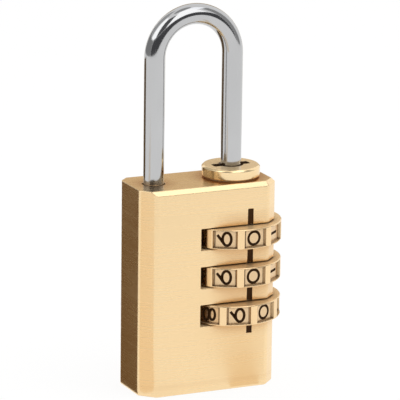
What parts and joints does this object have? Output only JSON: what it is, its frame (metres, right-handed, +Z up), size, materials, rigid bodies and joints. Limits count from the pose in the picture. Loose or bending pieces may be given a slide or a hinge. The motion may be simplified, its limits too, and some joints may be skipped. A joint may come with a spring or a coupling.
{
  "type": "combination padlock",
  "caption": "Small upright brass luggage padlock with number dials standing out of one side and a long round steel shackle through a collar.",
  "frame": {"origin": "centre of the flat bottom face of the body", "axes": "+Z up along the shackle legs, +X towards the dial side, -Y out of the face with the index line"},
  "size_m": [0.0234, 0.015, 0.0565],
  "materials": {
    "body_brass": "brushed",
    "collar_brass": "turned, satin",
    "dial_brass": "satin with dark sunk figures",
    "inner_brass": "plain turned",
    "shackle_steel": "polished plating",
    "spring_steel": "plain"
  },
  "bodies": {
    "case": {"body": "body_brass", "collar": "collar_brass", "base_plug": "body_brass", "click_leaf_upper": "spring_steel", "click_leaf_middle": "spring_steel", "click_leaf_lower": "spring_steel", "reset_spring": "spring_steel"},
    "shackle": {"shackle": "shackle_steel", "retaining_clip": "spring_steel"},
    "dial_upper": {"dial_upper": "dial_brass"},
    "dial_middle": {"dial_middle": "dial_brass"},
    "dial_lower": {"dial_lower": "dial_brass"},
    "sleeve_upper": {"sleeve_upper": "inner_brass"},
    "sleeve_middle": {"sleeve_middle": "inner_brass"},
    "sleeve_lower": {"sleeve_lower": "inner_brass"},
    "spring_seat": {"spring_seat": "inner_brass"}
  },
  "joints": [
    {"name": "shackle_lift", "type": "slide", "parent": "case", "child": "shackle", "axis": [0, 0, 1], "range_m": [0, 0.0046]},
    {"name": "dial_upper_turn", "type": "hinge", "parent": "case", "child": "dial_upper", "pos_m": [0.0051, 0, 0.0229], "axis": [0, 0, 1], "continuous": true, "deforming": ["click_leaf_upper"]},
    {"name": "dial_middle_turn", "type": "hinge", "parent": "case", "child": "dial_middle", "pos_m": [0.0051, 0, 0.0172], "axis": [0, 0, 1], "continuous": true, "deforming": ["click_leaf_middle"]},
    {"name": "dial_lower_turn", "type": "hinge", "parent": "case", "child": "dial_lower", "pos_m": [0.0051, 0, 0.0115], "axis": [0, 0, 1], "continuous": true, "deforming": ["click_leaf_lower"]},
    {"name": "number_reset", "type": "slide", "parent": "case", "child": "spring_seat", "axis": [0, 0, 1], "range_m": [-0.00125, 0], "stiffness_N_per_m": 600, "springref_m": 0.003, "deforming": ["reset_spring"]},
    {"name": "sleeve_upper_drop", "type": "slide", "parent": "dial_upper", "child": "sleeve_upper", "axis": [0, 0, 1], "range_m": [-0.00125, 0]},
    {"name": "sleeve_middle_drop", "type": "slide", "parent": "dial_middle", "child": "sleeve_middle", "axis": [0, 0, 1], "range_m": [-0.00125, 0]},
    {"name": "sleeve_lower_drop", "type": "slide", "parent": "dial_lower", "child": "sleeve_lower", "axis": [0, 0, 1], "range_m": [-0.00125, 0]}
  ],
  "couplings": [
    {"joint": "sleeve_upper_drop", "follows": "number_reset", "ratio": 1},
    {"joint": "sleeve_middle_drop", "follows": "number_reset", "ratio": 1},
    {"joint": "sleeve_lower_drop", "follows": "number_reset", "ratio": 1}
  ]
}
